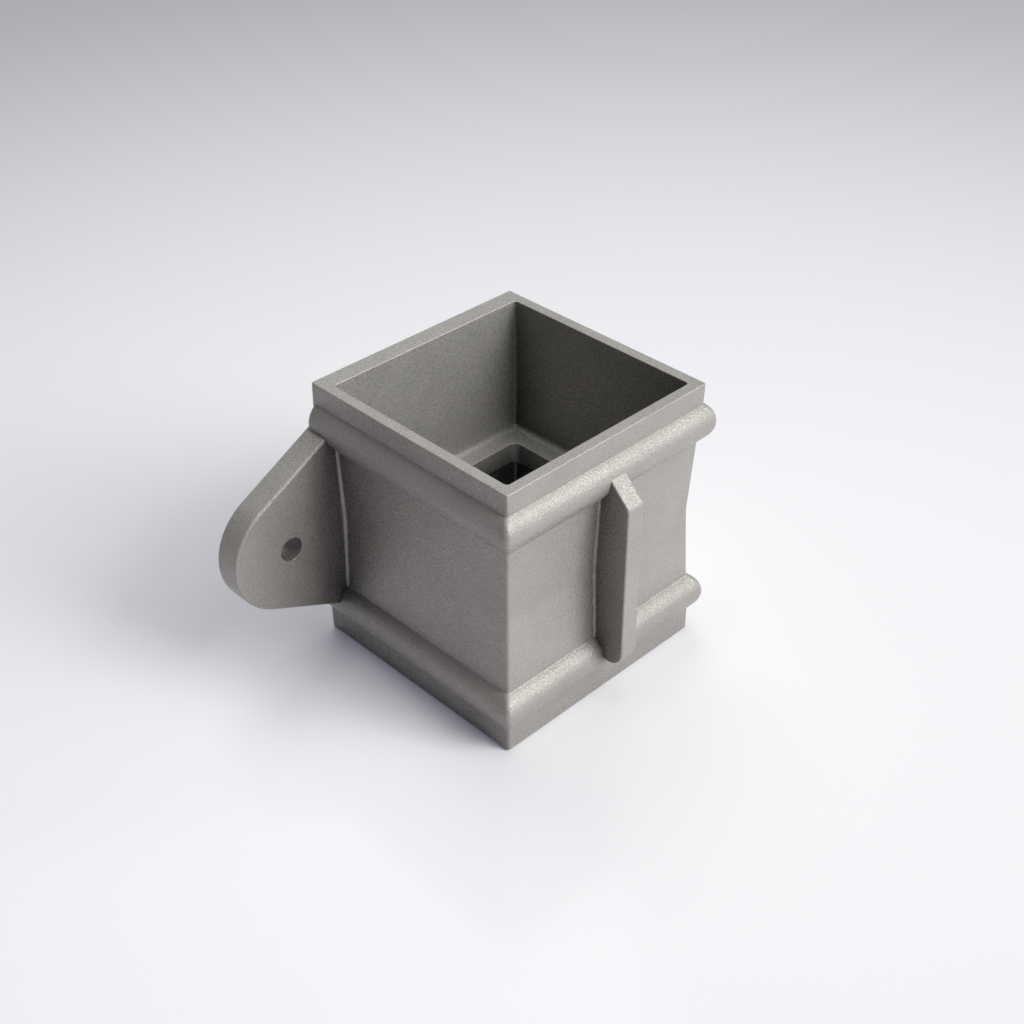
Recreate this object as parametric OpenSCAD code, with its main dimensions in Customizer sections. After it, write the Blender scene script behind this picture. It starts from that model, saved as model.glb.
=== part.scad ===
// Eared square downpipe socket, one casting.
// The upper pipe stands in the top socket, on the stop ledge; the lower socket drops over the next pipe.
// Origin on the pipe axis in the plane of the bottom edge; X along the ears, the wall on the +Y side.

/* [Sockets] */
// Inside width of both sockets, along the ears
socket_w = 80; // [64:0.5:110]
// Inside depth of both sockets, from front to back
socket_d = 77.5; // [64:0.5:110]
// Depth of the upper socket, from the rim down to the stop ledge
upper_depth = 51; // [30:1:60]
// Radius inside a socket, between its walls and along the ledge
socket_r = 1.2; // [0.6:0.1:4]

/* [Stop ledge] */
// Thickness of the ledge
ledge_t = 8; // [3:0.5:14]
// How far the ledge reaches in from the walls
ledge_reach = 7.5; // [3:0.5:15]
// Corner radius of the opening in the ledge
ledge_corner_r = 3; // [0.5:0.25:8]

/* [Walls] */
// Overall height
body_h = 100; // [90:1:140]
// Front and side wall at the rim and the collar
wall_t = 4; // [3:0.25:7]
// Wall on the side of the building
back_t = 6.5; // [4:0.25:12]
// How far the body is set back from the rim, next to the beads
shoulder_in = 0.85; // [0.3:0.05:1.5]
// How far the body is set back at its waist
waist_in = 2; // [1.6:0.1:2.4]
// Radius that blends the two tapers at the waist
waist_r = 50; // [20:5:120]
// Edge radius of the rim
rim_edge_r = 0.4; // [0.2:0.1:1]
// Edge radius of the bottom edge
foot_edge_r = 0.8; // [0.2:0.1:1.5]

/* [Beads] */
// Radius of the bead's section
bead_r = 8; // [6:0.5:10]
// How far a bead stands out from the rim
bead_proud = 3.5; // [2:0.25:5]
// Middle of the upper bead below the rim
upper_bead_drop = 14.1; // [11:0.1:18]
// Middle of the lower bead above the bottom edge
lower_bead_rise = 16.5; // [11:0.1:20]
// Fillet between a bead and the body
bead_fillet_r = 1; // [0.5:0.25:2]
// Rounding of the bead's ends at the back
bead_end_r = 2; // [0.5:0.25:3]

/* [Ears] */
// Thickness of an ear
ear_t = 9.5; // [6:0.5:14]
// Radius of the ear's round end
ear_r = 22; // [16:0.5:26]
// Hole centre out from the rim's side
ear_out = 20.5; // [18:0.5:32]
// Hole diameter, for an 8 mm wall bolt
ear_hole_d = 8.4; // [5:0.1:13]
// How far above and below the middles of the beads the ear's edges start
ear_lap = 0.5; // [0:0.1:2]
// Edge radius round the front of the ear
ear_edge_r = 1; // [0.25:0.25:3]
// Fillet between the ear and the body
ear_fillet_r = 1.2; // [0.4:0.2:3]

/* [Rib] */
// Width of the rib
rib_w = 7; // [4:0.5:14]
// How far the rib stands out from the rim
rib_proud = 11; // [6:0.5:16]
// How far above and below the middles of the beads the rib's slanted ends start
rib_lap = 1.3; // [0:0.1:3]
// Radius where a slanted end turns into the rib's front
rib_turn_r = 3; // [1:0.5:8]
// Edge radius along the rib's front and slanted ends
rib_edge_r = 0.6; // [0.2:0.1:1.5]
// Fillet between the rib and the body
rib_fillet_r = 1; // [0.4:0.2:2]

/* [Hidden] */
$fn = 96;

// Largest turn between two points of a computed arc
arc_step = 12;
// How far a cutter runs past the face that it opens
past = 1;
// How far a fillet's body is sunk behind the two faces that it joins
sunk = 0.5;
// How far a fillet's arc dips into the two faces, so that it ends in a clean edge on each
bite = 0.005;
// Slope of the rib's ends
rib_slant = 45;

side_x = socket_w/2 + wall_t;
front_y = -(socket_d/2 + wall_t);
back_y = socket_d/2 + back_t;

upper_bead_z = body_h - upper_bead_drop;
lower_bead_z = lower_bead_rise;
half_span = (upper_bead_z - lower_bead_z)/2;
waist_z = lower_bead_z + half_span;

// The bead's axis lies behind the rim's face, and the bead is rooted in the middle of the wall
bead_in = bead_r - bead_proud;
bead_root = wall_t/2;

// Fillet beside a bead: its centre out from the rim's face and along from the bead's axis, and its turn
fillet_out = bead_fillet_r - shoulder_in;
fillet_off = sqrt(pow(bead_r + bead_fillet_r - bite, 2) - pow(bead_in + fillet_out, 2));
fillet_turn = atan2(fillet_off, bead_in + fillet_out);

// The two tapers run from the bead fillets to the arc at the waist, and would meet at taper_in
waist_center = [waist_r - waist_in, waist_z];
taper_start = [-shoulder_in, upper_bead_z - fillet_off];
taper_angle = 180 - touch_angle(taper_start, waist_center, waist_r, 1);
taper_in = waist_in + waist_r*(1/cos(taper_angle) - 1);

// Ears and rib are rooted in the middle of the wall at the waist
root_in = (wall_t + waist_in)/2;

ear_front_y = back_y - ear_t;
ear_hole = [side_x + ear_out, body_h/2];
ear_top = [side_x, upper_bead_z + ear_lap];
ear_bottom = [side_x, lower_bead_z - ear_lap];
ear_top_turn = touch_angle(ear_top, ear_hole, ear_r, -1);
ear_bottom_turn = touch_angle(ear_bottom, ear_hole, ear_r, 1);

// Heights at which the rib's front would meet its slanted ends without the turn's radius
rib_rise = (rib_proud - bead_proud)*tan(rib_slant);
rib_low_z = lower_bead_z - rib_lap + rib_rise;
rib_high_z = upper_bead_z + rib_lap - rib_rise;
rib_foot = rib_proud*tan(rib_slant);
rib_turn_off = rib_turn_r*tan(rib_slant/2);

ledge_top = body_h - upper_depth;
ledge_bottom = ledge_top - ledge_t;

// Points of an arc about the centre c, from angle a to angle b
function arc(c, r, a, b) =
    let (n = max(2, ceil(abs(b - a)/arc_step)))
    [for (i = [0:n]) c + r*[cos(a + (b - a)*i/n), sin(a + (b - a)*i/n)]];

// Direction from the centre c to where a line from the point p touches a circle; side is 1 or -1
function touch_angle(p, c, r, side) =
    atan2(p[1] - c[1], p[0] - c[0]) + side*acos(r/norm(p - c));

// A body face seen edge on: x is measured out from the rim's face, y is the height
function face_points() = concat(
    arc([-foot_edge_r, foot_edge_r], foot_edge_r, -90, 0),
    [[0, lower_bead_z]],
    arc([fillet_out, lower_bead_z + fillet_off], bead_fillet_r, 180 + fillet_turn, 180),
    arc(waist_center, waist_r, 180 + taper_angle, 180 - taper_angle),
    arc([fillet_out, upper_bead_z - fillet_off], bead_fillet_r, 180, 180 - fillet_turn),
    [[0, upper_bead_z]],
    arc([-rim_edge_r, body_h - rim_edge_r], rim_edge_r, 0, 90)
);

// The body behind one face, seen edge on, down to a depth behind the rim's face
module behind_face(depth) {
    polygon(concat([[-depth, 0]], face_points(), [[-depth, body_h]]));
}

// Rectangle about the origin with round corners, from its half width, half depth and corner radius
module round_rectangle(half_w, half_d, r) {
    square([2*half_w, 2*(half_d - r)], center = true);
    square([2*(half_w - r), 2*half_d], center = true);
    for (x = [-1, 1], y = [-1, 1])
        translate([x*(half_w - r), y*(half_d - r)]) circle(r);
}

// Square body: front and sides taper to the waist, and the back is flat against the wall
module core() {
    intersection() {
        translate([0, back_y + past, 0]) rotate([90, 0, 0])
            linear_extrude(back_y - front_y + 2*past)
                for (side = [0, 1]) mirror([side, 0]) translate([side_x, 0]) behind_face(side_x);
        translate([-side_x - past, 0, 0]) rotate([90, 0, 90])
            linear_extrude(2*(side_x + past))
                translate([front_y, 0]) mirror([1, 0]) behind_face(back_y - front_y);
    }
}

// Section of a bead, cut off at x = inner; x is measured out from the rim's face
module bead_section(inner) {
    intersection() {
        translate([-bead_in, 0]) circle(bead_r);
        translate([inner, -bead_r]) square([2*bead_r, 2*bead_r]);
    }
}

// Straight bead on the plane x = 0, from y = 0 over its length
module bead_run(length) {
    translate([0, length, 0]) rotate([90, 0, 0])
        linear_extrude(length) bead_section(-bead_root);
}

// Disc about the bead's axis whose rounded rim ends a bead at y = 0
module bead_end() {
    disc_t = (back_t + bead_end_r)/2;
    rotate([90, 0, 0]) rotate_extrude() {
        square([bead_r - bead_end_r, disc_t]);
        translate([0, bead_end_r]) square([bead_r, disc_t - bead_end_r]);
        translate([bead_r - bead_end_r, bead_end_r]) circle(bead_end_r);
    }
}

// Bead along the front and both sides, round at the front corners and at its ends on the wall
module bead() {
    for (side = [0, 1]) mirror([side, 0, 0]) {
        translate([side_x, front_y, 0]) bead_run(back_y - front_y - bead_end_r);
        translate([side_x - bead_in, back_y, 0]) bead_end();
        translate([side_x, front_y, 0]) rotate_extrude() bead_section(0);
    }
    translate([-side_x, front_y, 0]) rotate([0, 0, -90]) bead_run(2*side_x);
}

// Fillets on both tapers, in the corner between a face, x = 0 at the rim, and the plane y = 0
module taper_fillets(r) {
    for (side = [0, 1])
        translate([-taper_in, 0, waist_z]) mirror([0, 0, side]) rotate([0, taper_angle, 0])
            linear_extrude(half_span) difference() {
                translate([-sunk, -sunk]) square(r + sunk);
                translate([r - bite, r - bite]) circle(r);
            }
}

// Bar from the ear's round end to the body, as wide as the round end; its outer side is an edge of the ear
module ear_bar(corner, turn, side) {
    flat_r = ear_r - ear_edge_r;
    length = sqrt(pow(norm(corner - ear_hole), 2) - pow(ear_r, 2)) + root_in;
    rotate([0, 0, turn]) mirror([0, (1 - side)/2, 0]) {
        cube([ear_r, length, ear_t - ear_edge_r]);
        translate([-flat_r, 0, 0]) cube([2*flat_r, length, ear_t]);
        translate([flat_r, 0, ear_t - ear_edge_r]) rotate([-90, 0, 0])
            cylinder(r = ear_edge_r, h = length);
    }
}

// Ear on the +X side: a plate with a round end, its edges springing from the beads
module ear() {
    translate([ear_hole[0], back_y, ear_hole[1]]) rotate([90, 0, 0]) {
        cylinder(r = ear_r, h = ear_t - ear_edge_r);
        cylinder(r = ear_r - ear_edge_r, h = ear_t);
        translate([0, 0, ear_t - ear_edge_r])
            rotate_extrude() translate([ear_r - ear_edge_r, 0]) circle(ear_edge_r);
        ear_bar(ear_top, ear_top_turn, 1);
        ear_bar(ear_bottom, ear_bottom_turn, -1);
    }
    translate([side_x, ear_front_y, 0]) mirror([0, 1, 0]) taper_fillets(ear_fillet_r);
}

// Rib seen from the side: x is measured out from the rim's face, y is the height
module rib_profile() {
    turn_x = rib_proud - rib_turn_r;
    polygon(concat(
        [[-root_in, rib_low_z - rib_foot], [0, rib_low_z - rib_foot]],
        arc([turn_x, rib_low_z + rib_turn_off], rib_turn_r, -rib_slant, 0),
        arc([turn_x, rib_high_z - rib_turn_off], rib_turn_r, 0, rib_slant),
        [[0, rib_high_z + rib_foot], [-root_in, rib_high_z + rib_foot]]
    ));
}

// Long bar as wide as the rib, its outer face in the plane y = 0 and tilted about the X axis
module rib_bar(tilt) {
    rotate([tilt, 0, 0]) linear_extrude(2*body_h, center = true) {
        translate([-rib_w/2, rib_edge_r]) square([rib_w, body_h]);
        translate([rib_edge_r - rib_w/2, 0]) square([rib_w - 2*rib_edge_r, body_h]);
        for (x = [-1, 1])
            translate([x*(rib_w/2 - rib_edge_r), rib_edge_r]) circle(rib_edge_r);
    }
}

// Rib on the middle of the front, with round edges on its front and on its slanted ends
module rib() {
    intersection() {
        translate([-rib_w/2 - past, front_y, 0]) rotate([90, 0, 90])
            linear_extrude(rib_w + 2*past) mirror([1, 0]) rib_profile();
        translate([0, front_y - rib_proud, 0]) rib_bar(0);
        translate([0, front_y - rib_proud, rib_low_z]) rib_bar(rib_slant);
        translate([0, front_y - rib_proud, rib_high_z]) rib_bar(-rib_slant);
    }
    for (side = [0, 1]) mirror([side, 0, 0])
        translate([rib_w/2, front_y, 0]) rotate([0, 0, -90]) taper_fillets(rib_fillet_r);
}

// Cutter for a socket: its floor lies in the plane z = 0 and its mouth at z = depth
module pocket(depth) {
    flat_x = socket_w/2 - socket_r;
    flat_y = socket_d/2 - socket_r;
    translate([0, 0, socket_r]) linear_extrude(depth + past - socket_r)
        round_rectangle(socket_w/2, socket_d/2, socket_r);
    linear_extrude(depth) square([2*flat_x, 2*flat_y], center = true);
    for (side = [-1, 1]) {
        translate([side*flat_x, 0, socket_r]) rotate([90, 0, 0])
            cylinder(r = socket_r, h = 2*flat_y, center = true);
        translate([0, side*flat_y, socket_r]) rotate([0, 90, 0])
            cylinder(r = socket_r, h = 2*flat_x, center = true);
        for (end = [-1, 1])
            translate([side*flat_x, end*flat_y, socket_r]) sphere(socket_r);
    }
}

// The whole casting
module socket() {
    color([0.53, 0.525, 0.51]) difference() {
        union() {
            core();
            translate([0, 0, upper_bead_z]) bead();
            translate([0, 0, lower_bead_z]) bead();
            for (side = [0, 1]) mirror([side, 0, 0]) ear();
            rib();
        }
        translate([0, 0, ledge_top]) pocket(upper_depth);
        translate([0, 0, ledge_bottom]) mirror([0, 0, 1]) pocket(ledge_bottom);
        translate([0, 0, ledge_bottom - past]) linear_extrude(ledge_t + 2*past)
            round_rectangle(socket_w/2 - ledge_reach, socket_d/2 - ledge_reach, ledge_corner_r);
        for (side = [-1, 1])
            translate([side*ear_hole[0], back_y + past, ear_hole[1]]) rotate([90, 0, 0])
                cylinder(d = ear_hole_d, h = ear_t + 2*past);
    }
}

socket();
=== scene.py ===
"""Looks of a cast square downpipe socket: the casting, a pale floor, soft light and the camera.

The casting's lengths are in millimetres, and MM turns them into metres where Blender takes them.
It is modelled in mesh code as closed stacks of rings, which are joined into one skin: the body
with its beads and sockets, two ears, a rib and the fillets beside these. The overall sizes are
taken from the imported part.
"""

import math

import bmesh
import bpy
from mathutils import Matrix, Vector


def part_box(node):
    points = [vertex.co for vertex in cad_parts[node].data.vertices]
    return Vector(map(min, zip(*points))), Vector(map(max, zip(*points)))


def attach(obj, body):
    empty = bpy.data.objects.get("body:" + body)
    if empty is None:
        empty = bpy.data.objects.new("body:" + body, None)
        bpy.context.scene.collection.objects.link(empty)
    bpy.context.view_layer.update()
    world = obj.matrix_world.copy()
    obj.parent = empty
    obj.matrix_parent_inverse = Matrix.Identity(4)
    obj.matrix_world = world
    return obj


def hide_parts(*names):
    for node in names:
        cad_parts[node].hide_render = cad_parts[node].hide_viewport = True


MM = 0.001

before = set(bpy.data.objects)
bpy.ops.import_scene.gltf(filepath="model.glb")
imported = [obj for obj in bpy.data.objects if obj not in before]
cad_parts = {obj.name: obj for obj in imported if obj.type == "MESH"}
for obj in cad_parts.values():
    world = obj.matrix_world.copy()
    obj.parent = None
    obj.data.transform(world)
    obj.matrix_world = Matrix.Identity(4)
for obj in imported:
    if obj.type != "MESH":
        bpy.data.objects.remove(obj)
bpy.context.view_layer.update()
LOW, HIGH = (corner/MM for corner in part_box("socket"))

# Body: the rim's sides and front are the reference faces, and "out" is measured from them
WALL = 4
BACK_WALL = 6.5
EAR_OUT = 20.5
EAR_R = 22
RIB_PROUD = 11
SIDE_X = HIGH.x - EAR_OUT - EAR_R
FRONT_Y = LOW.y + RIB_PROUD
BACK_Y = HIGH.y
TOP_Z = HIGH.z
MIDDLE_Z = TOP_Z/2
SHOULDER_IN = 0.85
WAIST_IN = 2
WAIST_R = 50

# Sockets and stop ledge; no corner of theirs is rounded by less than the tightest radius
SOCKET_X = SIDE_X - WALL
SOCKET_Y = BACK_Y - BACK_WALL
SOCKET_R = 1.2
TIGHTEST_R = 0.15
UPPER_DEPTH = 51
LEDGE_T = 8
LEDGE_REACH = 7.5
LEDGE_CORNER_R = 3
LEDGE_FILLET_R = 2.4
LEDGE_TOP_Z = TOP_Z - UPPER_DEPTH
LEDGE_BOTTOM_Z = LEDGE_TOP_Z - LEDGE_T
LEDGE_HOLE = (SOCKET_X - LEDGE_REACH, SOCKET_Y - LEDGE_REACH)

# Beads and the fillets beside them
BEAD_R = 8
BEAD_PROUD = 3.5
BEAD_IN = BEAD_R - BEAD_PROUD
UPPER_BEAD_DROP = 14.1
UPPER_BEAD_Z = TOP_Z - UPPER_BEAD_DROP
LOWER_BEAD_Z = 16.5
BEAD_FILLET_R = 0.7
BEAD_END_R = 2

# Edges
RIM_EDGE_R = 0.4
FOOT_EDGE_R = 0.8
RIM_CORNER_R = 0.6
CORNER_R = 1.1
BEAD_CORNER_R = 1.9
INNER_EDGE_R = 0.35
BACK_EDGE_R = 0.4

# Ears and rib
EAR_T = 9.5
EAR_EDGE_R = 1
EAR_BACK_R = 0.3
EAR_LAP = 0.5
EAR_CENTER = (SIDE_X + EAR_OUT, MIDDLE_Z)
EAR_HOLE_R = 4.2
HOLE_EDGE_R = 0.3
EAR_FILLET_R = 1.2
RIB_W = 7
RIB_LAP = 1.3
RIB_SLANT = 45
RIB_TURN_R = 3
RIB_FOOT_R = 6
RIB_EDGE_R = 0.6
RIB_FILLET_R = 1

# Ears, rib and fillets are rooted this far inside the body's faces, and fillets dip into the
# faces a little
ROOT_IN = 3
SUNK = 0.5
BITE = 0.01

# Steps of the rounds: most quarter turns, small edges, and the ledge's fillets and rib's edges
QUARTER_STEPS = 8
EDGE_STEPS = 3
ROUND_STEPS = 5

# Steps of the other arcs
RIM_EDGE_STEPS = 4
FOOT_EDGE_STEPS = 5
BEAD_STEPS = 22
FILLET_STEPS = 6
WAIST_STEPS = 6
RIB_FOOT_STEPS = 12
RIB_TURN_STEPS = 6

# Directions of the points round an ear, from its hole
EAR_POINTS = 96
EAR_TURNS = [-180 + 360*i/EAR_POINTS for i in range(EAR_POINTS)]

# Shading: edges sharper than an angle stay sharp, and large faces lead at the others
SHARP_ANGLE = 32
NORMAL_WEIGHT = 60

# Metal: its colour and finish, and the sizes of its grain, pits and mottling
METAL = (0.432, 0.419, 0.386)
METALLIC = 0.17
ROUGHNESS = 0.315
GRAIN = 0.6
PITS = 3*GRAIN
MOTTLE = 14

# How grain and mottling change the tone, what the brightest grain adds in metal and gloss, and
# the grain's height, of which the pits have a share
NOISE_RANGE = (0.3, 0.7)
GRAIN_TONES = (0.96, 1.04)
MOTTLE_TONES = (0.95, 1.05)
FLECK_RANGE = (0.45, 0.7)
FLECK_METAL = 0.32
FLECK_GLOSS = 0.13
GRAIN_DEPTH = 0.2
PIT_SHARE = 0.4

# Painted shade in narrow corners, in recesses, towards the bottom and in the sockets: its reach,
# the open shares between which it fades, and how much of the colour is left
OPEN_SAMPLES = 8
CREVICE_REACH = 2
CREVICE_OPEN = (0.45, 0.75)
CREVICE_SHADE = 0.75
RECESS_REACH = 32
RECESS_OPEN = (0.4, 0.92)
RECESS_SHADE = 0.2
FOOT_RANGE = (2, 32)
FOOT_SHADE = 0.8
SIDE_WALL_SHADE = 0.84
CAVITY_SHADE = 0.4

# Where the painted shade changes: beside the rim, towards an ear's end, behind a socket's wall,
# and by the way that a face looks
SIDE_RANGE = (SIDE_X - 1, SIDE_X)
EAR_END_RANGE = (SIDE_X + 8, SIDE_X + 14)
EAR_END_SHARE = 0.5
SKIN_RANGE = (0.3, 0.8)
UPWARD_RANGE = (0.3, 0.8)
FORWARD_RANGE = (-0.85, -0.5)
SIDEWAYS_RANGE = (0.5, 0.9)

# Camera of the photograph, fitted to the rim, base, ledge, ear and rib corners: its place and
# near end in metres, its direction in degrees, its lens and sensor in millimetres
CAMERA_AT = (-0.291226, -0.296366, 0.349588)
CAMERA_AZIMUTH = -44.505
CAMERA_ELEVATION = 35.747
CAMERA_ROLL = -0.177
CAMERA_LENS = 54.012
CAMERA_SENSOR = 36
CAMERA_NEAR = 0.01

# Floor, in metres: where its painted pool of light is brightest, and how that painted shade falls
# off with the distance from there
FLOOR_R = 2.5
FLOOR_POINTS = 64
FLOOR_LIGHT_AT = (-0.01, -0.02)
FLOOR_SHADES = (
    (0, 1),
    (0.15, 0.99),
    (0.3, 0.922),
    (0.45, 0.802),
    (0.6, 0.668),
    (0.75, 0.57),
    (1, 0.48),
)

# Its tint and how that cools with the painted shade; then what is seen of it, its faint glow,
# which is painted light that lightens and blues its shadows, and what it sends on
FLOOR_TINT = (0.985, 0.983, 1.0)
FLOOR_COOL = (0.08, 0.1, 0)
FLOOR_LIFT = (0.905, 0.9, 0.874)
FLOOR_GLOW = (0.088, 0.092, 0.122)
FLOOR_BOUNCE = (0.63, 0.58, 0.63)

# Its gloss, which ends where the view is more slanted
FLOOR_SHINE = 0.15
FLOOR_ROUGHNESS = 0.12
FLOOR_SLANT_RANGE = (0.3, 0.42)

# Backdrop that is seen, and the world's light
BACKDROP = (0.3, 0.3, 0.315)
WORLD_LIGHT = 0.05

# Lamps: their distance and size in metres; azimuth, elevation, the light given there, and colour
LAMP_DISTANCE = 4
LAMP_SIZE = 2
LAMPS = {
    "key": (20, 35, 0.51, (1, 1, 1)),
    "high": (20, 55, 0.26, (1, 1, 1)),
    "low": (33, 15, 0.28, (1, 1, 1)),
    "back": (150, 60, 0.21, (1, 1, 1)),
    "top": (10, 88, 0.23, (0.98, 0.97, 1)),
}


def polar(center, r, degrees):
    """Point at a distance and direction from a centre."""
    a = math.radians(degrees)
    return (center[0] + r*math.cos(a), center[1] + r*math.sin(a))


def arc(center, r, start, end, steps):
    """Points of an arc from start to end, in degrees."""
    return [polar(center, r, start + (end - start)*i/steps) for i in range(steps + 1)]


def quarter_round(r, steps):
    """Distances of a quarter round's points from its two tangents, first r and 0, last 0 and r."""
    turns = [math.radians(90*i/steps) for i in range(steps + 1)]
    return [(r*(1 - math.sin(turn)), r*(1 - math.cos(turn))) for turn in turns]


def touch_angle(point, center, r, side):
    """Direction from the centre to where a line from the point touches a circle."""
    dx, dy = point[0] - center[0], point[1] - center[1]
    return math.degrees(math.atan2(dy, dx) + side*math.acos(r/math.hypot(dx, dy)))


def mesh_object(name, rings, capped=False, flip=False):
    """Object from rings of points, each joined to the next.

    The last ring joins the first, unless the ends are capped.
    """
    size = len(rings[0])
    points = [Vector(p)*MM for ring in rings for p in ring]
    faces = []
    for i in range(len(rings) - (1 if capped else 0)):
        here, there = i*size, (i + 1) % len(rings)*size
        for j in range(size):
            k = (j + 1) % size
            faces.append((here + j, here + k, there + k, there + j))
    if capped:
        faces.append(tuple(reversed(range(size))))
        faces.append(tuple(range(len(points) - size, len(points))))
    if flip:
        faces = [tuple(reversed(face)) for face in faces]
    mesh = bpy.data.meshes.new(name)
    mesh.from_pydata(points, [], faces)
    mesh.validate()
    obj = bpy.data.objects.new(name, mesh)
    bpy.context.scene.collection.objects.link(obj)
    return obj


# Outer profile: where the fillets beside a bead end, and the two tapers that meet at the waist
fillet_out = BEAD_FILLET_R - SHOULDER_IN
fillet_off = math.sqrt((BEAD_R + BEAD_FILLET_R)**2 - (BEAD_IN + fillet_out)**2)
fillet_turn = math.degrees(math.atan2(fillet_off, BEAD_IN + fillet_out))
rim_turn = math.degrees(math.acos(BEAD_IN/BEAD_R))
waist_center = (WAIST_R - WAIST_IN, (UPPER_BEAD_Z + LOWER_BEAD_Z)/2)
taper_start = (-SHOULDER_IN, UPPER_BEAD_Z - fillet_off)
taper_angle = 180 - touch_angle(taper_start, waist_center, WAIST_R, 1)


def waist_arc():
    """Blend of the two tapers, from the lower one up, as (out, z)."""
    return arc(waist_center, WAIST_R, 180 + taper_angle, 180 - taper_angle, WAIST_STEPS)


def outer_profile():
    """Outside of a wall as (out, z, bead's height or None) from the bottom edge up to the rim."""
    foot = arc((-FOOT_EDGE_R, FOOT_EDGE_R), FOOT_EDGE_R, -90, 0, FOOT_EDGE_STEPS)
    lower = arc((-BEAD_IN, LOWER_BEAD_Z), BEAD_R, -rim_turn, fillet_turn, BEAD_STEPS)
    low_fillet = arc((fillet_out, LOWER_BEAD_Z + fillet_off), BEAD_FILLET_R,
                     180 + fillet_turn, 180, FILLET_STEPS)
    high_fillet = arc((fillet_out, UPPER_BEAD_Z - fillet_off), BEAD_FILLET_R,
                      180, 180 - fillet_turn, FILLET_STEPS)
    body = low_fillet[1:] + waist_arc() + high_fillet[:-1]
    upper = arc((-BEAD_IN, UPPER_BEAD_Z), BEAD_R, -fillet_turn, rim_turn, BEAD_STEPS)
    rim = arc((-RIM_EDGE_R, TOP_Z - RIM_EDGE_R), RIM_EDGE_R, 0, 90, RIM_EDGE_STEPS)
    stretches = (
        (foot, None),
        (lower, LOWER_BEAD_Z),
        (body, None),
        (upper, UPPER_BEAD_Z),
        (rim, None),
    )
    return [(out, z, bead_z) for points, bead_z in stretches for out, z in points]


def core_out(z):
    """How far out the wall is behind a bead, where the bead's rounded end leaves it bare."""
    if z < LOWER_BEAD_Z or z > UPPER_BEAD_Z:
        return 0
    drop = min(z - LOWER_BEAD_Z, UPPER_BEAD_Z - z)
    fillet_z = BEAD_R*math.sin(math.radians(fillet_turn))
    fillet_x = BEAD_R*math.cos(math.radians(fillet_turn)) - BEAD_IN
    return fillet_x*drop/fillet_z


def outer_ring(out, z, bead_z):
    """Outline of the body at a height, with rounded front corners; beads end round at the back."""
    half = []
    for tuck, from_back in quarter_round(BEAD_END_R, QUARTER_STEPS):
        x = out
        if bead_z is not None:
            r = BEAD_R - tuck
            reach = r*r - (z - bead_z)**2
            x = max(core_out(z), math.sqrt(reach) - BEAD_IN if reach > 0 else -BEAD_R)
            x = min(x, out)
        elif from_back < BACK_EDGE_R:
            x -= BACK_EDGE_R - math.sqrt(BACK_EDGE_R**2 - (BACK_EDGE_R - from_back)**2)
        half.append((SIDE_X + x, BACK_Y - from_back))
    if bead_z is not None:
        r = CORNER_R + (BEAD_CORNER_R - CORNER_R)*max(out, 0)/BEAD_PROUD
    else:
        r = RIM_CORNER_R if z > UPPER_BEAD_Z else CORNER_R
    half += arc((SIDE_X + out - r, FRONT_Y - out + r), r, 0, -90, QUARTER_STEPS)
    other = [(-x, y) for x, y in reversed(half)]
    return [(x, y, z) for x, y in half + other]


def inner_ring(inset, z, corner_r, half_x=SOCKET_X, half_y=SOCKET_Y):
    """Outline of a rectangular opening at a height, its corners matched to the outer rings'."""
    x, y, r = half_x - inset, half_y - inset, max(corner_r - inset, TIGHTEST_R)
    ring = []
    for sx, sy, start in ((1, 1, 90), (1, -1, 0), (-1, -1, -90), (-1, 1, -180)):
        ring += arc((sx*(x - r), sy*(y - r)), r, start, start - 90, QUARTER_STEPS)
    return [(px, py, z) for px, py in ring]


def pocket_rings(mouth_z, floor_z):
    """Rings of a socket, from its mouth's round edge down its walls and its floor's fillet."""
    way = 1 if mouth_z > floor_z else -1
    mouth = quarter_round(INNER_EDGE_R, EDGE_STEPS)
    floor = quarter_round(LEDGE_FILLET_R, ROUND_STEPS)
    rings = [inner_ring(-flare, mouth_z - way*drop, SOCKET_R) for flare, drop in mouth]
    rings += [inner_ring(inset, floor_z + way*rise, SOCKET_R) for rise, inset in floor]
    return rings


def make_body():
    """Square body with both sockets, the ledge between them and both beads."""
    edge = quarter_round(INNER_EDGE_R, EDGE_STEPS)
    rings = [outer_ring(*point) for point in outer_profile()]
    rings += pocket_rings(TOP_Z, LEDGE_TOP_Z)
    for flare, drop in edge:
        rings.append(inner_ring(-flare, LEDGE_TOP_Z - drop, LEDGE_CORNER_R, *LEDGE_HOLE))
    for flare, drop in reversed(edge):
        rings.append(inner_ring(-flare, LEDGE_BOTTOM_Z + drop, LEDGE_CORNER_R, *LEDGE_HOLE))
    rings += reversed(pocket_rings(0, LEDGE_BOTTOM_Z))
    return mesh_object("body", rings, flip=True)


def ear_outline(r, y):
    """Outline of an ear whose round end and straight edges lie at a distance r from its axis."""
    top = touch_angle((SIDE_X, UPPER_BEAD_Z + EAR_LAP), EAR_CENTER, EAR_R, -1)
    bottom = touch_angle((SIDE_X, LOWER_BEAD_Z - EAR_LAP), EAR_CENTER, EAR_R, 1)
    ring = []
    for turn in EAR_TURNS:
        reach = r
        if not bottom <= turn <= top:
            cosines = [math.cos(math.radians(turn - edge)) for edge in (top, bottom)]
            limits = [r/cosine for cosine in cosines if cosine > 0]
            inward = -math.cos(math.radians(turn))
            if inward > 0:
                limits.append((EAR_OUT + ROOT_IN)/inward)
            reach = min(limits)
        x, z = polar(EAR_CENTER, reach, turn)
        ring.append((x, y, z))
    return ring


def hole_ring(r, y):
    """Ring of an ear's hole, point by point opposite the ear's outline."""
    return [(x, y, z) for x, z in (polar(EAR_CENTER, r, turn) for turn in EAR_TURNS)]


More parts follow.
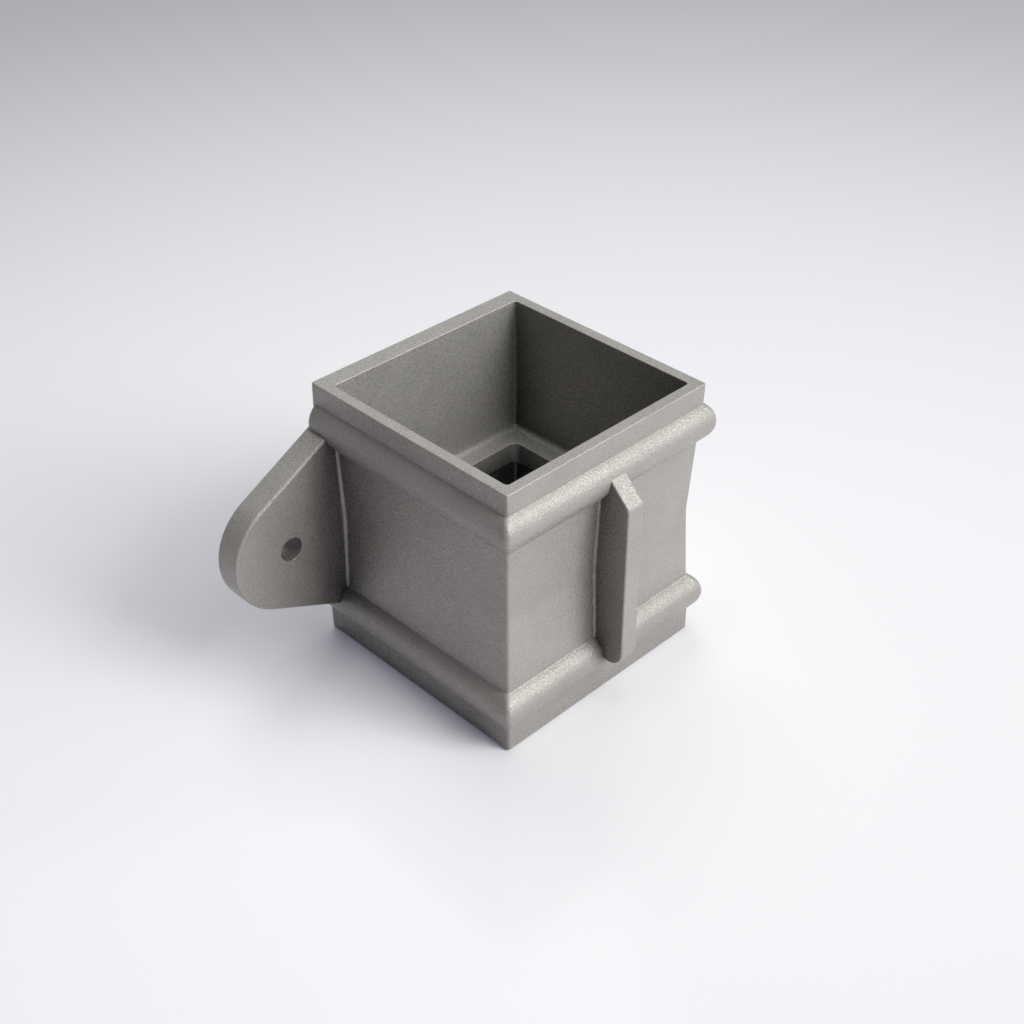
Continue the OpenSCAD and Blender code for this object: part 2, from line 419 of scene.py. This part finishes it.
def make_ear(side):
    """Ear plate with its hole, on the side 1 or -1."""
    back, front = BACK_Y, BACK_Y - EAR_T
    back_edge = quarter_round(EAR_BACK_R, EDGE_STEPS)
    front_edge = quarter_round(EAR_EDGE_R, QUARTER_STEPS)
    hole_edge = quarter_round(HOLE_EDGE_R, EDGE_STEPS)
    rings = [ear_outline(EAR_R - inset, back - drop) for inset, drop in back_edge]
    rings += [ear_outline(EAR_R - inset, front + drop) for drop, inset in front_edge]
    rings += [hole_ring(EAR_HOLE_R + flare, front + drop) for flare, drop in hole_edge]
    rings += [hole_ring(EAR_HOLE_R + flare, back - drop) for flare, drop in reversed(hole_edge)]
    rings = [[(side*x, y, z) for x, y, z in ring] for ring in rings]
    return mesh_object("ear", rings, flip=side < 0)


def make_rib():
    """Rib on the middle of the front, with a slanted head, a round foot and round edges."""
    low_z = LOWER_BEAD_Z
    high_z = UPPER_BEAD_Z + RIB_LAP - (RIB_PROUD - BEAD_PROUD)
    foot_at = (RIB_PROUD - RIB_FOOT_R, low_z + RIB_FOOT_R)
    turn_off = RIB_TURN_R*math.tan(math.radians(RIB_SLANT/2))
    turn_at = (RIB_PROUD - RIB_TURN_R, high_z - turn_off)
    diagonal = math.sqrt(0.5)
    edge = quarter_round(RIB_EDGE_R, ROUND_STEPS)
    rings = []
    for side, half in ((-1, edge), (1, reversed(edge))):
        for inset, narrowing in half:
            x = side*(RIB_W/2 - narrowing)
            root = (-ROOT_IN - diagonal*inset, high_z + RIB_PROUD + ROOT_IN - diagonal*inset)
            outline = [(-ROOT_IN, low_z + inset)]
            outline += arc(foot_at, RIB_FOOT_R - inset, -90, 0, RIB_FOOT_STEPS)
            outline += arc(turn_at, RIB_TURN_R - inset, 0, RIB_SLANT, RIB_TURN_STEPS)
            outline += [root]
            rings.append([(x, FRONT_Y - out, z) for out, z in outline])
    return mesh_object("rib", rings, capped=True, flip=True)


def make_fillet(r, place):
    """Fillet down a side of the body; place turns (out from it, along it, z) into a point."""
    half_span = (UPPER_BEAD_Z - LOWER_BEAD_Z)/2
    slope = math.tan(math.radians(taper_angle))
    taper_in = WAIST_IN + WAIST_R*(1/math.cos(math.radians(taper_angle)) - 1)
    end_out = -taper_in + slope*half_span
    path = [(end_out, LOWER_BEAD_Z), *waist_arc(), (end_out, UPPER_BEAD_Z)]
    section = [(-SUNK, -SUNK), (r - BITE, -SUNK)]
    section += arc((r - BITE, r - BITE), r, -90, -180, FILLET_STEPS)
    section += [(-SUNK, r - BITE)]
    rings = [[place(out + u, v, z) for u, v in section] for out, z in path]
    return mesh_object("fillet", rings, capped=True)


def ear_fillet(side):
    """Fillet in front of an ear."""
    front = BACK_Y - EAR_T

    def place(out, along, z):
        return (side*(SIDE_X + out), front - along, z)

    return make_fillet(EAR_FILLET_R, place)


def rib_fillet(side):
    """Fillet beside the rib."""
    def place(out, along, z):
        return (side*(RIB_W/2 + along), FRONT_Y - out, z)

    return make_fillet(RIB_FILLET_R, place)


def outward(obj):
    """Turn all faces of a closed mesh outward."""
    bm = bmesh.new()
    bm.from_mesh(obj.data)
    bmesh.ops.recalc_face_normals(bm, faces=bm.faces)
    bm.to_mesh(obj.data)
    bm.free()


def joined(base, others):
    """Join the others to the base into one skin, with nothing left inside it."""
    for other in others:
        outward(other)
        join = base.modifiers.new("join", "BOOLEAN")
        join.operation = "UNION"
        join.solver = "EXACT"
        join.object = other
    bpy.context.view_layer.update()
    finished = base.evaluated_get(bpy.context.evaluated_depsgraph_get())
    mesh = bpy.data.meshes.new_from_object(finished)
    base.modifiers.clear()
    base.data = mesh
    for other in others:
        bpy.data.objects.remove(other)
    return base


def make_casting():
    """The whole casting as one object."""
    body = make_body()
    outward(body)
    others = [make_ear(1), make_ear(-1), make_rib()]
    others += [ear_fillet(1), ear_fillet(-1), rib_fillet(1), rib_fillet(-1)]
    casting = joined(body, others)
    casting.name = casting.data.name = "casting"
    casting.data.shade_smooth()
    casting.data.set_sharp_from_angle(angle=math.radians(SHARP_ANGLE))
    weighted = casting.modifiers.new("weighted", "WEIGHTED_NORMAL")
    weighted.keep_sharp = True
    weighted.weight = NORMAL_WEIGHT
    return casting


def node(tree, kind, **inputs):
    """New node of a kind, with the values of its inputs; their names have _ for a space."""
    made = tree.nodes.new("ShaderNode" + kind)
    for name, value in inputs.items():
        made.inputs[name.replace("_", " ")].default_value = value
    return made


def noise(tree, place, size_mm, detail, roughness=0.6):
    """Noise with features of a size in the casting's own space."""
    made = node(tree, "TexNoise", Scale=1/(size_mm*MM), Detail=detail, Roughness=roughness)
    tree.links.new(place, made.inputs["Vector"])
    return made.outputs["Fac"]


def spread(tree, value, low, high, to_low, to_high):
    """Value moved from one range to another, and kept within that."""
    made = node(tree, "MapRange", From_Min=low, From_Max=high, To_Min=to_low, To_Max=to_high)
    tree.links.new(value, made.inputs["Value"])
    return made.outputs["Result"]


def fade(tree, length, low_mm, high_mm, to_low, to_high):
    """Value that goes from one level to another between two lengths."""
    return spread(tree, length, low_mm*MM, high_mm*MM, to_low, to_high)


def mixed(tree, a, b, factor=1.0, how="MULTIPLY"):
    """Two colours mixed; each is an output or a constant."""
    made = node(tree, "Mix")
    made.data_type = "RGBA"
    made.blend_type = how
    color_a, color_b, share = made.inputs[6], made.inputs[7], made.inputs[0]
    for value, socket in ((a, color_a), (b, color_b), (factor, share)):
        if isinstance(value, bpy.types.NodeSocket):
            tree.links.new(value, socket)
        else:
            socket.default_value = value
    return made.outputs[2]


def lightest(tree, a, b):
    """The larger of two levels."""
    return mixed(tree, a, b, how="LIGHTEN")


def seen_rays(tree):
    """1 for what the camera sees, straight or mirrored, and 0 for the light a surface sends on."""
    rays = node(tree, "LightPath").outputs
    seen = rays["Is Camera Ray"]
    for name in ("Is Glossy Ray", "Is Transmission Ray"):
        either = node(tree, "Math")
        either.operation = "MAXIMUM"
        tree.links.new(seen, either.inputs[0])
        tree.links.new(rays[name], either.inputs[1])
        seen = either.outputs["Value"]
    return seen


def parts_of(tree, vector):
    """The x, y and z of a vector."""
    made = node(tree, "SeparateXYZ")
    tree.links.new(vector, made.inputs["Vector"])
    return made.outputs


def sizes_of(tree, vector):
    """The x, y and z of a vector, without their signs."""
    made = node(tree, "VectorMath")
    made.operation = "ABSOLUTE"
    tree.links.new(vector, made.inputs[0])
    return parts_of(tree, made.outputs["Vector"])


def open_share(tree, reach):
    """How little of the casting itself lies within a reach around a place, from 0 to 1."""
    around = node(tree, "AmbientOcclusion", Distance=reach*MM)
    around.samples = OPEN_SAMPLES
    around.only_local = True
    return around.outputs["AO"]


def crevice_shade(tree):
    """Painted shade in the narrow inner corners."""
    return spread(tree, open_share(tree, CREVICE_REACH), *CREVICE_OPEN, CREVICE_SHADE, 1)


def recess_shade(tree, place, normal):
    """Painted shade in recesses, and painted shade that darkens slowly towards the bottom.

    The recesses' painted shade is spared at the ears' ends and, between the side walls, where they
    look forward or up.
    """
    shade = spread(tree, open_share(tree, RECESS_REACH), *RECESS_OPEN, RECESS_SHADE, 1)
    looks = parts_of(tree, normal)
    upward = spread(tree, looks["Z"], *UPWARD_RANGE, 0, 1)
    forward = spread(tree, looks["Y"], *FORWARD_RANGE, 1, 0)
    across = sizes_of(tree, place)
    between = fade(tree, across["X"], *SIDE_RANGE, 1, 0)
    ear_end = fade(tree, across["X"], *EAR_END_RANGE, 0, EAR_END_SHARE)
    # Share of the recesses' painted shade that is spared
    unshaded = lightest(tree, mixed(tree, lightest(tree, upward, forward), between), ear_end)
    # Painted shade that darkens the casting slowly towards the bottom, near the floor
    foot = fade(tree, across["Z"], *FOOT_RANGE, FOOT_SHADE, 1)
    return mixed(tree, foot, mixed(tree, shade, (1, 1, 1, 1), unshaded, "MIX"))


def cavity_shade(tree, place, normal):
    """Painted shade on both sockets' side walls and over all of the lower socket.
    """
    across = sizes_of(tree, place)
    skin_x, skin_y = ([half + depth for depth in SKIN_RANGE] for half in (SOCKET_X, SOCKET_Y))
    outside_x = fade(tree, across["X"], *skin_x, 0, 1)
    outside_y = fade(tree, across["Y"], *skin_y, 0, 1)
    outside = lightest(tree, outside_x, outside_y)
    above = fade(tree, across["Z"], LEDGE_BOTTOM_Z, LEDGE_TOP_Z, 0, 1)
    face_on = spread(tree, sizes_of(tree, normal)["X"], *SIDEWAYS_RANGE, 1, 0)
    low = spread(tree, lightest(tree, outside, above), 0, 1, CAVITY_SHADE, 1)
    side = spread(tree, lightest(tree, outside, face_on), 0, 1, SIDE_WALL_SHADE, 1)
    return mixed(tree, low, side)


def cast_metal():
    """Shot blasted cast aluminium: an even fine grain, faint mottling, and painted shade in its
    recesses and corners.
    """
    material = bpy.data.materials.new("cast_metal")
    material.use_nodes = True
    tree = material.node_tree
    link = tree.links.new
    shader = tree.nodes["Principled BSDF"]
    coords = node(tree, "TexCoord")
    place = coords.outputs["Object"]
    normal = coords.outputs["Normal"]
    grain = noise(tree, place, GRAIN, 3, 0.7)
    pits = noise(tree, place, PITS, 2)
    mottle = noise(tree, place, MOTTLE, 3)

    dark, light = ((*[c*tone for c in METAL], 1) for tone in MOTTLE_TONES)
    tone = mixed(tree, dark, light, spread(tree, mottle, *NOISE_RANGE, 0, 1), "MIX")
    speckled = mixed(tree, tone, spread(tree, grain, *NOISE_RANGE, *GRAIN_TONES))
    # Painted shade in recesses, sockets and corners and towards the bottom, multiplied into the
    # colour
    shade = mixed(tree, recess_shade(tree, place, normal), cavity_shade(tree, place, normal))
    shade = mixed(tree, shade, crevice_shade(tree))
    metallic = spread(tree, grain, *FLECK_RANGE, METALLIC, METALLIC + FLECK_METAL)
    roughness = spread(tree, grain, *FLECK_RANGE, ROUGHNESS, ROUGHNESS - FLECK_GLOSS)
    link(mixed(tree, speckled, shade), shader.inputs["Base Color"])
    link(metallic, shader.inputs["Metallic"])
    link(roughness, shader.inputs["Roughness"])

    height = node(tree, "Math")
    height.operation = "MULTIPLY_ADD"
    height.inputs[1].default_value = PIT_SHARE
    link(pits, height.inputs[0])
    link(grain, height.inputs[2])
    bump = node(tree, "Bump", Strength=1, Distance=GRAIN_DEPTH*MM)
    link(height.outputs["Value"], bump.inputs["Height"])
    link(bump.outputs["Normal"], shader.inputs["Normal"])
    return material


def facing(azimuth, elevation, roll=0.0):
    """Turn of a camera or lamp that looks back along the direction of an azimuth and elevation."""
    a, e, t = (math.radians(v) for v in (azimuth, elevation, roll))
    right = Vector((math.cos(a), math.sin(a), 0))
    back = Vector((math.sin(a)*math.cos(e), -math.cos(a)*math.cos(e), math.sin(e)))
    up = back.cross(right)
    columns = (right*math.cos(t) + up*math.sin(t), up*math.cos(t) - right*math.sin(t), back)
    return Matrix(columns).transposed().to_4x4()


def make_camera():
    """The photograph's camera."""
    data = bpy.data.cameras.new("camera")
    data.lens = CAMERA_LENS
    data.sensor_width = CAMERA_SENSOR
    data.clip_start = CAMERA_NEAR
    camera = bpy.data.objects.new("camera", data)
    turn = facing(CAMERA_AZIMUTH, CAMERA_ELEVATION, CAMERA_ROLL)
    camera.matrix_world = Matrix.Translation(CAMERA_AT) @ turn
    bpy.context.scene.collection.objects.link(camera)
    bpy.context.scene.camera = camera


def make_lamp(name, azimuth, elevation, strength, color):
    """Square soft lamp that looks at the middle of the casting; strength is its light there."""
    data = bpy.data.lights.new(name, "AREA")
    data.color = color
    data.shape = "SQUARE"
    data.size = LAMP_SIZE
    data.energy = strength*math.pi*math.pi*LAMP_DISTANCE**2
    lamp = bpy.data.objects.new(name, data)
    turn = facing(azimuth, elevation)
    away = turn.to_3x3() @ Vector((0, 0, LAMP_DISTANCE))
    lamp.matrix_world = Matrix.Translation(Vector((0, 0, MIDDLE_Z*MM)) + away) @ turn
    bpy.context.scene.collection.objects.link(lamp)


def floor_shade(tree):
    """Painted pool of light: a pale colour that falls off, and cools, with the distance from where
    the floor is brightest.
    """
    away = node(tree, "VectorMath")
    away.operation = "DISTANCE"
    away.inputs[1].default_value = (*FLOOR_LIGHT_AT, 0)
    tree.links.new(node(tree, "TexCoord").outputs["Object"], away.inputs[0])
    ramp = node(tree, "ValToRGB")
    ramp.color_ramp.interpolation = "B_SPLINE"
    stops = ramp.color_ramp.elements
    for distance, _ in FLOOR_SHADES[len(stops):]:
        stops.new(distance)
    for stop, (distance, shade) in zip(stops, FLOOR_SHADES):
        cooled = [c*shade*(1 - cool*(1 - shade)) for c, cool in zip(FLOOR_TINT, FLOOR_COOL)]
        stop.position = distance
        stop.color = (*cooled, 1)
    tree.links.new(away.outputs["Value"], ramp.inputs["Fac"])
    return ramp.outputs["Color"]


def floor_look():
    """Pale floor with a painted pool of light that darkens away from the casting and, from well
    above, mirrors it faintly.

    It looks a little brighter than the light that it sends on to the casting, and glows faintly, a
    painted light that lightens its shadows.
    """
    material = bpy.data.materials.new("floor")
    material.use_nodes = True
    tree = material.node_tree
    link = tree.links.new
    shader = tree.nodes["Principled BSDF"]
    shader.inputs["Roughness"].default_value = FLOOR_ROUGHNESS
    slant = node(tree, "LayerWeight").outputs["Facing"]
    shine = spread(tree, slant, *FLOOR_SLANT_RANGE, FLOOR_SHINE, 0)
    shade = floor_shade(tree)
    seen = seen_rays(tree)
    lift = mixed(tree, (*FLOOR_BOUNCE, 1), (*FLOOR_LIFT, 1), seen, "MIX")
    link(shine, shader.inputs["Specular IOR Level"])
    link(mixed(tree, shade, lift), shader.inputs["Base Color"])
    # Faint glow seen by the camera and the gloss: painted light that lightens the floor's shadows
    # and makes them bluer
    link(mixed(tree, shade, (*FLOOR_GLOW, 1)), shader.inputs["Emission Color"])
    link(seen, shader.inputs["Emission Strength"])
    material.cycles.emission_sampling = "NONE"
    return material


def make_floor():
    """Round pale floor."""
    rim = arc((0, 0), FLOOR_R, 0, 360 - 360/FLOOR_POINTS, FLOOR_POINTS - 1)
    mesh = bpy.data.meshes.new("floor")
    mesh.from_pydata([(x, y, 0) for x, y in rim], [], [tuple(range(FLOOR_POINTS))])
    mesh.materials.append(floor_look())
    floor = bpy.data.objects.new("floor", mesh)
    bpy.context.scene.collection.objects.link(floor)


def make_world():
    """Faint even light from all round; the camera and the gloss see a plain mid grey backdrop."""
    world = bpy.data.worlds.new("world")
    world.use_nodes = True
    tree = world.node_tree
    background = tree.nodes["Background"]
    background.inputs["Color"].default_value = (*BACKDROP, 1)
    strength = spread(tree, seen_rays(tree), 0, 1, WORLD_LIGHT, 1)
    tree.links.new(strength, background.inputs["Strength"])
    bpy.context.scene.world = world


casting = make_casting()
casting.data.materials.clear()
casting.data.materials.append(cast_metal())
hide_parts("socket")
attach(casting, "root")

make_camera()
make_floor()
for lamp_name, lamp in LAMPS.items():
    make_lamp(lamp_name, *lamp)
make_world()
bpy.context.scene.view_settings.view_transform = "Standard"
